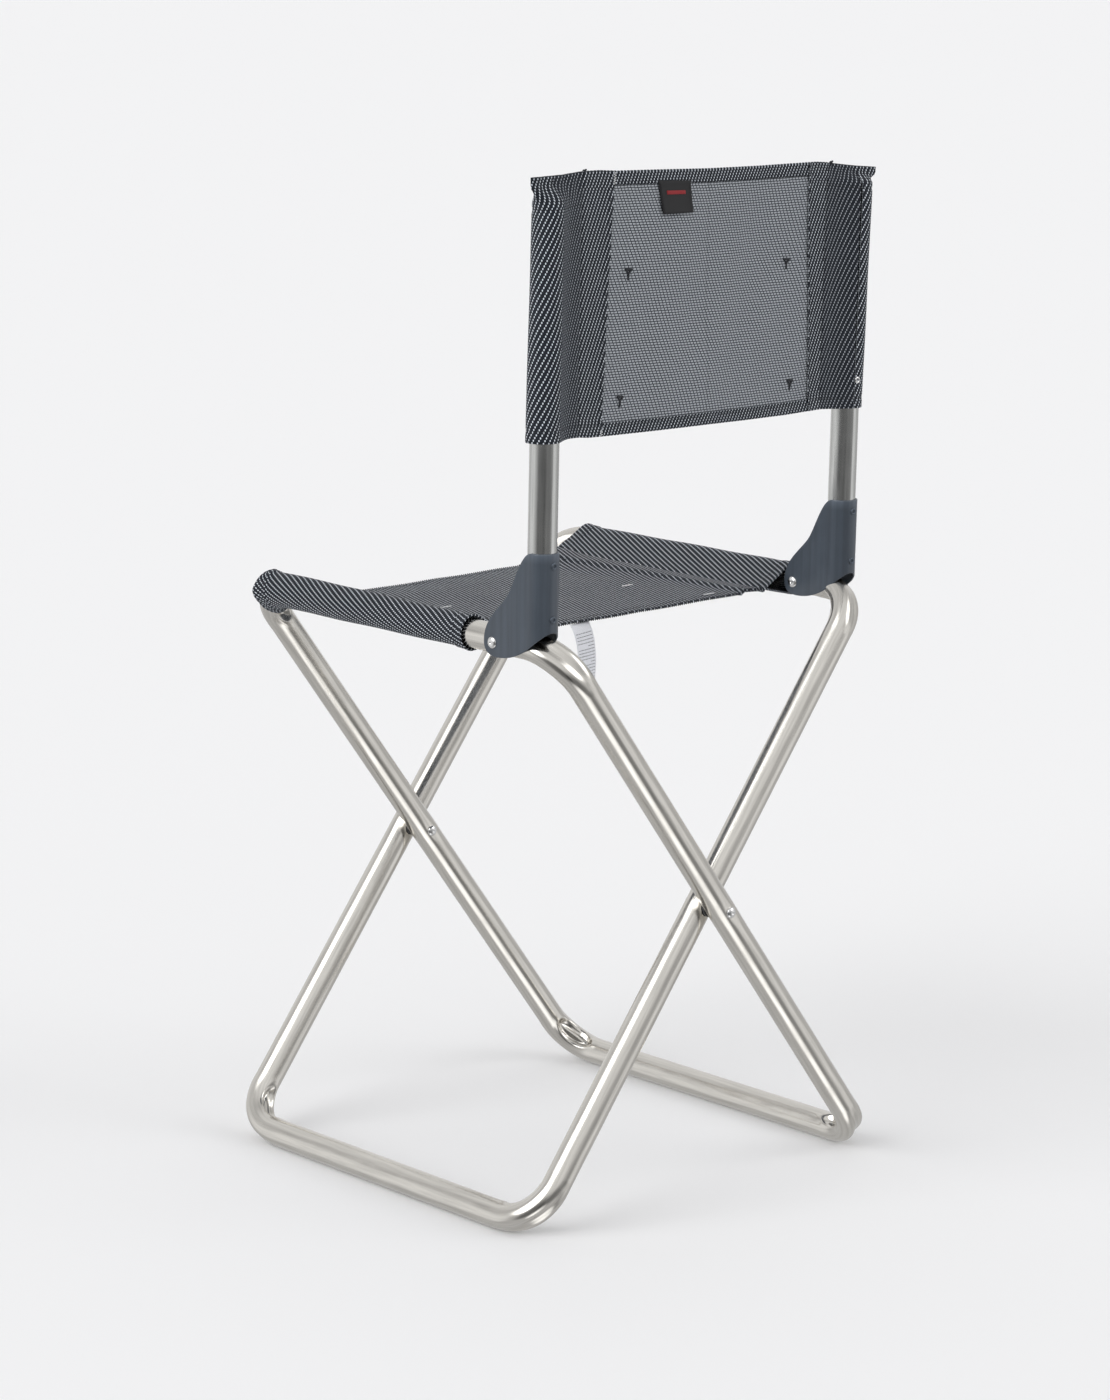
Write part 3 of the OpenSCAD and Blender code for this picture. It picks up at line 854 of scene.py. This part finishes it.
def make_back():
    for name, side in SIDES.items():
        body = f"{name}_backrest"
        panel, hem_heap = back_panel(name)
        (front_web, sleeve, rear_web, flap), (flap_heap, sleeve_heap, web_heap) = back_sleeve(name)
        gathered = [panel, flap, hem_heap.build(f"back_{name}_hem_stitches", dark_thread),
                    flap_heap.build(f"back_{name}_flap_stitches", dark_thread), tacks(name), bartacks(name)]
        webs = [front_web, rear_web, web_heap.build(f"back_{name}_web_stitches", dark_thread)]
        fixed = [sleeve, sleeve_heap.build(f"back_{name}_sleeve_stitches", dark_thread)]
        if name == "left":
            gathered += tag()
        for pieces, x, keep in ((gathered, GATHER_X, GATHER_KEEP), (webs, WEB_X, WEB_KEEP), (fixed, 0, None)):
            for o in pieces:
                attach(o, body)
                if keep is not None:
                    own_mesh(o)
                if "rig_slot" not in o:
                    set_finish(o, "back_fabric" if o is panel else "sling_fabric")
        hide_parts(f"back_{name}_sleeve")
        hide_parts("back_panel")


def rear_point(x, z, lift):
    """A point on the rear of the back panel."""
    side = 1 if x >= 0 else -1
    p = abs(x) * hypot(1, BACK_SLOPE)
    return back_space(side, p, lift + slack(side, p, z), z)


def tacks(name):
    """Small dark knots that hold the lining, and the knots at the seams' upper ends."""
    heap = Heap()
    for x, z in {"left": ((91.5, 731.5), (96.2, 637.5)), "right": ((-99.8, 726.5), (-104.8, 632.0))}[name]:
        for dx, dz in ((-3.4, 2.6), (3.2, 3.2), (0.2, -4.4)):
            heap.thread(rear_point(x, z, 0.9), rear_point(x + dx, z + dz, 0.8), 0.72)
        heap.thread(rear_point(x - 3.0, z + 2.8, 0.9), rear_point(x + 3.0, z + 3.2, 0.9), 0.8)
    x = {"left": 141.0, "right": -147.5}[name]
    z = float(top_at(SIDES[name], abs(x)))
    for dx, dz, r in ((0, -0.9, 1.0), (0.8, 0.2, 0.8), (-0.7, 0.6, 0.7)):
        heap.thread(rear_point(x + dx, z + dz, 0.6), rear_point(x + dx * 1.6, z + dz + 0.6, 1.4), r)
    return heap.build(f"back_{name}_tacks", dark_thread)


def bartacks(name):
    """Dense stitching that locks the ends of a flap's edge."""
    heap = Heap()
    side = SIDES[name]
    for end, height in ((0, 1), (1, 0)):
        x = side * (FLAP_END[name][end] + 0.6)
        z0 = top_at(side, abs(x)) - 9 if height else low_at(side, abs(x)) + 1
        for k in range(10 if height else 5):
            z = z0 + 0.9 * k
            lean = 0.6 if k % 2 else -0.6
            heap.thread(rear_point(x - 1.3, z - lean, 2.5), rear_point(x + 1.3, z + lean, 2.5), 0.2)
    return heap.build(f"back_{name}_bartacks", white_thread if name == "left" else grey_thread)


def tag():
    """A woven tag under the top hem, with a plain red bar."""
    corners = array([[(59.7, 797.9), (22.8, 796.3)], [(56.2, 773.0), (20.8, 772.4)]])
    r, c = shares(14, 18)

    def at(r, c, lift):
        x, z = ((corners[0, 0, k] * (1 - c) + corners[0, 1, k] * c) * (1 - r)
                + (corners[1, 0, k] * (1 - c) + corners[1, 1, k] * c) * r for k in (0, 1))
        p = x * hypot(1, BACK_SLOPE)
        q = lift + slack(1, p, z) + 1.2 * r ** 2 + 0.4 * np.sin(c * 5) * r
        return back_space(1, p, q, z)

    g = at(r, c, 1.15)
    uv = stack([c * 33, r * 23], -1)
    cloth = sheet("back_tag_cloth", g, uv, 0.6, [tag_cloth], flip=True)
    bar = at(*shares(3, 12, (0.3, 0.42), (0.2, 0.8)), 1.6)
    red = sheet("back_tag_bar", bar, uv[:3, :12], 0.25, [red_thread], flip=True)
    border = Heap()
    edge = at(array([0.06, 0.06, 0.95, 0.95, 0.06]), array([0.05, 0.95, 0.95, 0.05, 0.05]), 1.5)
    fine = concatenate([linspace(edge[i], edge[i + 1], 12)[:-1] for i in range(4)] + [edge[-1:]])
    stitches(border, fine, 1.9, 1.3, 0.12)
    thread = border.build("back_tag_stitches", dark_thread)
    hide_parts("back_tag")
    for o in (cloth, red, thread):
        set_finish(o, "tag")
    return [cloth, red, thread]


make_back()

# ---- Seat: one sling, with a sleeve on each frame's top tube ----

SEAT_HEM = 10.0
SEAT_PANEL_COLS, SEAT_FLAP_COLS = 76, 24
SEAT_SEAM = 143.0
FLAP_IN = {"left": 117.0, "right": 116.0}
# Height of the panel's middle from front to rear
SAG_AT = (-150.0, -100.0, -30.0, 40.0, 89.0)
SAG_Z = (447.9, 451.8, 454.4, 456.0, 457.2)
# The empty sleeves stand this far clear of the tube's top
RISE_AT = (-150.0, -120.0, -40.0, 60.0, 89.0)
RISE = {"left": (3.4, 3.6, 3.0, 1.6, 1.0), "right": (0.2, 0.2, 0.3, 0.3, 0.2)}


def seam_height(y):
    """Height of the line where panel, flap and both webs meet."""
    return 457.3 + 2.2 * smooth((-105.0 - y) / 35.0)


def hull(points):
    """Convex outline of points in a plane, anticlockwise."""
    pts = sorted({(round(float(x), 4), round(float(z), 4)) for x, z in points})

    def half(seq):
        out = []
        for p in seq:
            while len(out) > 1 and ((out[-1][0] - out[-2][0]) * (p[1] - out[-2][1])
                                    - (out[-1][1] - out[-2][1]) * (p[0] - out[-2][0])) <= 0:
                out.pop()
            out.append(p)
        return out[:-1]

    return half(pts) + half(pts[::-1])


def resample(line, count):
    line = array(line)
    at = along_line(line)
    s = linspace(0, at[-1], count)
    return stack([interp(s, at, line[:, k]) for k in range(line.shape[1])], -1)


def tube_section(side, y):
    """The cut through a seat tube and its bend at that y, with the cloth's clearance."""
    beyond = -BEND_START - (y - side * FRAME_SHIFT)
    out = []
    for b in linspace(0, 2 * pi, 73)[:-1]:
        rho = BEND_R + SLEEVE_R * cos(b)
        along = LEG_LEN - BEND_R + (rho if beyond <= 0 else sqrt(max(rho ** 2 - beyond ** 2, 0.0)))
        p = LOOP_ORIGIN + along * EX + SLEEVE_R * sin(b) * EZ
        if beyond <= 0 or rho > beyond:
            out.append((p[0], p[2]))
    return out


def panel_z(x, y):
    seam_z = seam_height(y)
    z = seam_z + (interp(y, SAG_AT, SAG_Z) - seam_z) * smooth((SEAT_SEAM - 6 - x) / 44)
    z = z + 0.22 * np.sin(x / 13.0 + y / 37.0) * smooth((SEAT_SEAM - x) / 60)
    # The flap below lifts the panel at its end, and the doubled band dips from there to the seam
    ridge = smooth((x - FLAP_IN["left"] + 1.0) / 4.2) - 0.85 * np.clip((x - FLAP_IN["left"] - 3.0) / 22, 0, 1)
    return z + 2.3 * ridge - 1.2 * bump(x, SEAT_SEAM - 0.5, 2.4)


def seat_row(name, y, cloth_under):
    """One line of cloth across half the seat, from the chair's middle out round the tube and back to the flap's end."""
    side = SIDES[name]
    end = min(y + SEAT_FRONT, SEAT_REAR - y)
    doubled, pinch = smooth((13.0 - end) / 2.5), bump(end, 9.0, 1.2)
    y_hull = max(y, side * FRAME_SHIFT - BEND_START - 19.0)
    rise = interp(y, RISE_AT, RISE[name])
    loose = [(HALF_SEAT + SLEEVE_R * cos(a), SEAT_Z + rise * max(0.0, sin(a + 0.25)) + SLEEVE_R * sin(a))
             for a in linspace(-0.5, 3.0, 48)]
    loop = hull(tube_section(side, y_hull) + loose + [(SEAT_SEAM, seam_height(y))])
    k = min(range(len(loop)), key=lambda i: loop[i][0])
    loop = (loop[k:] + loop[:k] + [loop[k]])[::-1]
    ring = resample(loop, 104)
    t = np.gradient(ring, axis=0)
    n = stack([-t[:, 1], t[:, 0]], -1) / np.maximum(norm(t, axis=1, keepdims=True), 1e-9)
    s = linspace(0, 1, len(ring))
    ends = smooth(np.minimum(s, 1 - s) / 0.09)
    off = (0.95 * doubled - 0.35 * pinch) * ends - cloth_under + 0.2 * np.sin(y / 13.0 + 9.0 * s) * (1 - doubled) * ends
    off = off + 0.9 * smooth(1 - end / 4.0) * np.sin(s * pi) ** 2
    ring = ring + n * off[:, None]
    # The web hangs a little between seam and tube, and the lower side of the mouth is cut back where the leg turns down
    ring[:, 1] -= 1.0 * np.sin(pi * np.clip(s / 0.26, 0, 1))
    reach = interp(s, [0, 0.2, 0.34, 0.5, 0.62, 0.72, 1], [1.0, 0.5, 0.0, 1.4, 0.9, 0.1, 0.3])
    ys = y_hull + (y - y_hull) * reach
    wrap = stack([ring[:, 0], ys, ring[:, 1]], -1)[1:-1]
    xs = linspace(0, SEAT_SEAM, SEAT_PANEL_COLS)
    panel = stack([xs, np.full_like(xs, y), panel_z(xs, y) - cloth_under], -1)
    flap_x = linspace(SEAT_SEAM, FLAP_IN[name], SEAT_FLAP_COLS)
    under = 0.95 + 0.9 * doubled + 0.3 * smooth((SEAT_SEAM - flap_x) / 20) - cloth_under
    y_flap = y + (y_hull - y) * 0.7 * smooth(1 - (SEAT_SEAM - flap_x) / 20)
    flap = stack([flap_x, y_flap, panel_z(flap_x, y) - under], -1)
    points = concatenate([panel, wrap, flap])
    u = along_line(points * (1, 0, 1))
    points[:, 0] *= side
    return points, side * u


# Short white bars of stitching at the flap edges
BARTACKS = ((-76, 0), (-92, 76), (98, -28), (100, 56))


def make_seat():
    ys = concatenate([linspace(*run) for run in ((-SEAT_FRONT + FOLD, -SEAT_FRONT + 16, 14),
                                                       (-SEAT_FRONT + 19, SEAT_REAR - 19, 58),
                                                       (SEAT_REAR - 16, SEAT_REAR - FOLD, 14))])
    turn = linspace(0, pi, 6)[1:-1]
    rows = [(-SEAT_FRONT + SEAT_HEM - t, 0.9, -SEAT_HEM + t) for t in linspace(0, SEAT_HEM - FOLD, 5)]
    rows += [(-SEAT_FRONT + FOLD - FOLD * sin(t), FOLD + FOLD * cos(t), -0.4) for t in turn]
    rows += [(y, 0.0, y + SEAT_FRONT) for y in ys]
    length = SEAT_FRONT + SEAT_REAR
    rows += [(SEAT_REAR - FOLD + FOLD * sin(t), FOLD - FOLD * cos(t), length + 0.4) for t in turn]
    rows += [(SEAT_REAR - FOLD - t, 0.9, length + t) for t in linspace(0, SEAT_HEM - FOLD, 5)]
    g, uv = [], []
    for y, under, v in rows:
        left, u_left = seat_row("left", y, under)
        right, u_right = seat_row("right", y, under)
        g.append(concatenate([right[::-1], left[1:]]))
        u = concatenate([u_right[::-1], u_left[1:]])
        uv.append(stack([u, np.full_like(u, v)], -1))
    g, uv = array(g), array(uv)
    cloth = sheet("seat_cloth", g, uv, CLOTH_T, FACE_OUT)
    per_side = len(left)
    mid, seam_col = per_side - 1, SEAT_PANEL_COLS - 1
    # The rows of the hem's turned edge come before the first row of the seat itself
    first = 5 + len(turn)
    last = first + len(ys)
    heap = Heap()
    for name, s in SIDES.items():
        edge = int((FLAP_IN[name] + 2.5) / SEAT_SEAM * seam_col)
        for col in (seam_col - 1, edge, per_side - 4):
            sew(heap, g, slice(first + 2, last - 2), mid + s * col, 0.06)
        round_ = slice(mid + s * (seam_col + 4), mid + s * (per_side - SEAT_FLAP_COLS - 4), s)
        for row in (first + 7, last - 8):
            sew(heap, g, row, round_, 0.06)
    for row in (first + 7, last - 8):
        sew(heap, g, row, slice(mid - seam_col + 2, mid + seam_col - 2), 0.05)
    # Yarn ends along both hems
    for y, out in ((-SEAT_FRONT, -1), (SEAT_REAR, 1)):
        for x in np.arange(-SEAT_SEAM + 3, SEAT_SEAM - 2, 2.3):
            z = float(panel_z(abs(x), y))
            heap.thread((x, y + 0.05 * out, z + 0.35), (x + 0.4, y + 0.3 * out, z - 1.1), 0.55)
    thread = heap.build("seat_stitches", dark_thread)
    bars = Heap()
    for x, y in BARTACKS:
        z = float(panel_z(abs(x), y)) + CLOTH_T / 2 + 0.15
        for k in range(15):
            bars.thread((x - 5.5 + 0.76 * k, y - 0.8, z), (x - 5.2 + 0.76 * k, y + 0.8, z), 0.27)
    bars = bars.build("seat_bartacks", white_thread)
    label, print_ = care_label()
    for o in (cloth, thread, bars, label, print_):
        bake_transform(o)
    for node in ("seat_left_sleeve", "seat_right_sleeve", "seat_panel"):
        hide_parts(node)
    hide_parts("care_label")
    for o in (cloth, thread, bars):
        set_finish(o, "sling_fabric")
    for o in (label, print_):
        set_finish(o, "label")


LABEL_X, LABEL_W, LABEL_TOP, LABEL_LOW = 52.0, 25.0, 457.0, 394.0


def care_label():
    """A white ribbon with rows of small plain marks, hanging from the rear hem."""
    r, c = shares(40, 12)

    def at(r, c, lift):
        y = SEAT_REAR - 5.0 + 6.0 * c + 11.0 * (1 - np.exp(-5.0 * r)) - 5.0 * r ** 2 + 1.5 * np.sin(c * 3.0) * r
        x = LABEL_X + LABEL_W * c - 1.0 * r
        z = LABEL_TOP - 1.5 - (LABEL_TOP - LABEL_LOW - 1.5) * r - 1.5 * (1 - c) * r
        return stack([x, y + lift, z], -1)

    g = at(r, c, 0.0)
    label = sheet("care_label_ribbon", g, stack([c * 26, r * 66], -1), 0.35, [label_ribbon])
    marks = Heap()
    for k, row in enumerate(linspace(0.12, 0.95, 22)):
        x, step = 0.08, 0
        # Every fifth row is short
        while x < 0.86 and not (k % 5 == 4 and step > 1):
            w = 0.05 + 0.1 * (0.5 + 0.5 * sin(k * 12.9 + step * 7.7))
            for lift in (0.28, -0.28):
                marks.thread(at(row, x, lift), at(row, min(x + w, 0.92), lift), 0.24)
            x += w + 0.05
            step += 1
    return label, marks.build("care_label_marks", grey_thread)


make_seat()


# ---- Floor, light and camera ----

FLOOR_REACH = 30000
corners = array([(-1, -1, 0), (1, -1, 0), (1, 1, 0), (-1, 1, 0)]) * FLOOR_REACH
floor_look = Nodes("floor").set(Base_Color=(0.905, 0.905, 0.915, 1), Roughness=0.95, Specular_IOR_Level=0.0)
floor_mesh = make_mesh("floor", corners, [(0, 1, 2, 3)], materials=[floor_look], smooth_shade=False)
floor_mesh.visible_glossy = False


def direction(azimuth, elevation):
    """Unit vector from the object towards that azimuth and elevation, in degrees as for the camera."""
    a, e = radians(azimuth), radians(elevation)
    return (sin(a) * cos(e), -cos(a) * cos(e), sin(e))


# A studio: soft light from all round, with large soft panels, two of which take light away.
# Each panel is (azimuth, elevation, angle inside which it is full, angle where it ends, strength)
STUDIO_LEVEL = 0.52
PANELS = (
    (80, 32, 12, 28, 3.2),
    (42, -8, 14, 32, 0.32),
    (218, 30, 10, 24, 2.1),
    (145, 50, 20, 48, 0.30),
    (330, 25, 30, 60, 0.25),
    (224, -12, 8, 26, 0.30),
    (165, -56, 8, 22, 1.10),
    (176, -24, 14, 40, -0.32),
    (118, -14, 20, 42, -0.36),
)
BACKDROP = 0.896
world = Nodes("studio", "worlds", "Background")
scene.world = world.owner
where = world.node("TexCoord").outputs["Generated"]
total, base = None, STUDIO_LEVEL
for azimuth, elevation, inner, outer, strength in PANELS:
    toward = world.node("VectorMath", {0: where, 1: direction(azimuth, elevation)}, operation="DOT_PRODUCT")
    panel = world.ramp(toward.outputs["Value"], cos(radians(outer)), cos(radians(inner)), base, base + strength,
                       "SMOOTHSTEP")
    total = panel if total is None else world.add(total, panel)
    base = 0.0
# Beyond the floor's edge the eye sees a plain backdrop as bright as the floor
eye = world.node("LightPath").outputs["Is Camera Ray"]
shown = world.node("Mix", {"Factor": eye, "A": total, "B": BACKDROP})
world.set(Color=(1.0, 1.0, 1.0, 1), Strength=shown.outputs["Result"])
scene.view_settings.view_transform = "Standard"

# Camera: the photo's viewing angle
AZIMUTH, ELEVATION, ROLL = 135.66, 12.24, radians(0.77)
TARGET, DISTANCE, LENS = Vector((4.16, 0.0, 371.61)) * MM, 3.0336, 97.38
back = Vector(direction(AZIMUTH, ELEVATION))
right = Vector((0, 0, 1)).cross(back).normalized()
up = back.cross(right)
cam_x = right * cos(ROLL) + up * sin(ROLL)
cam_y = up * cos(ROLL) - right * sin(ROLL)
data = bpy.data.cameras.new("camera")
data.lens, data.sensor_fit, data.sensor_height, data.sensor_width = LENS, "VERTICAL", 36.0, 36.0
camera = bpy.data.objects.new("camera", data)
scene.collection.objects.link(camera)
camera.matrix_world = Matrix.Translation(TARGET + back * DISTANCE) @ Matrix((cam_x, cam_y, back)).transposed().to_4x4()
scene.camera = camera
